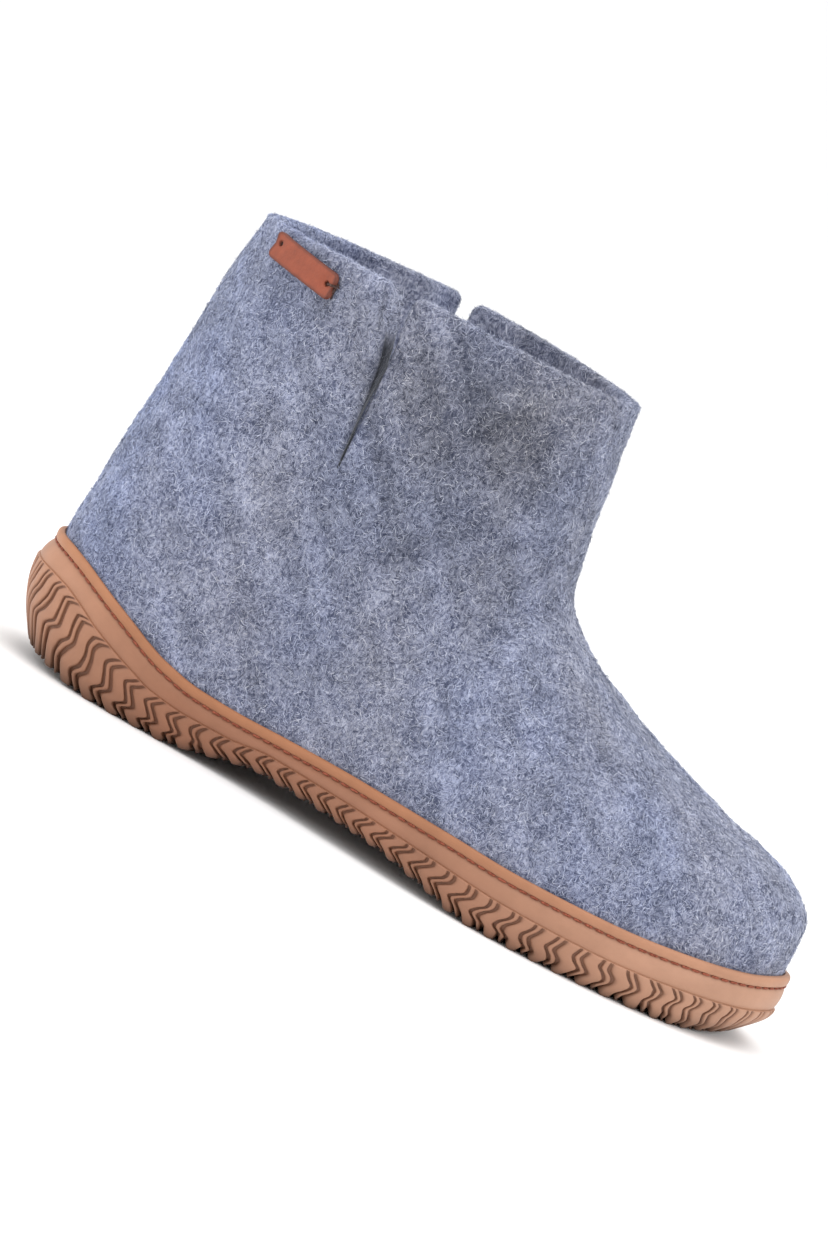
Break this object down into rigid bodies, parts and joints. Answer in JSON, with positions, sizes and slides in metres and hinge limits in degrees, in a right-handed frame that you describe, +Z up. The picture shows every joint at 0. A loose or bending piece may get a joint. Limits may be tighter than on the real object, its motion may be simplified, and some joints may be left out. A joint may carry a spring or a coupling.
{
  "type": "felt ankle boot",
  "caption": "Slip-on ankle boot of thick felted wool, slit at both sides of the collar, on a moulded rubber cup sole with a wavy ribbed side.",
  "frame": {"origin": "middle of the boot's box on the ground plane, z = 0 under heel and forefoot", "axes": "+X to the toe, +Y to the inner (medial) side of the foot, +Z up; -Y is the outer side with the leather tag"},
  "size_m": [0.2803, 0.1058, 0.1644],
  "materials": {
    "felt_wool": "thick felted wool, mottled blue-grey, matt with short loose fibres",
    "gum_rubber": "moulded gum rubber, satin",
    "felt_insole": "pressed grey wool felt, matt",
    "tan_leather": "smooth reddish-brown leather, matt, cut edges"
  },
  "bodies": {
    "root": {"upper": "felt_wool", "outsole": "gum_rubber", "insole": "felt_insole", "leather_tag": "tan_leather"}
  },
  "joints": []
}
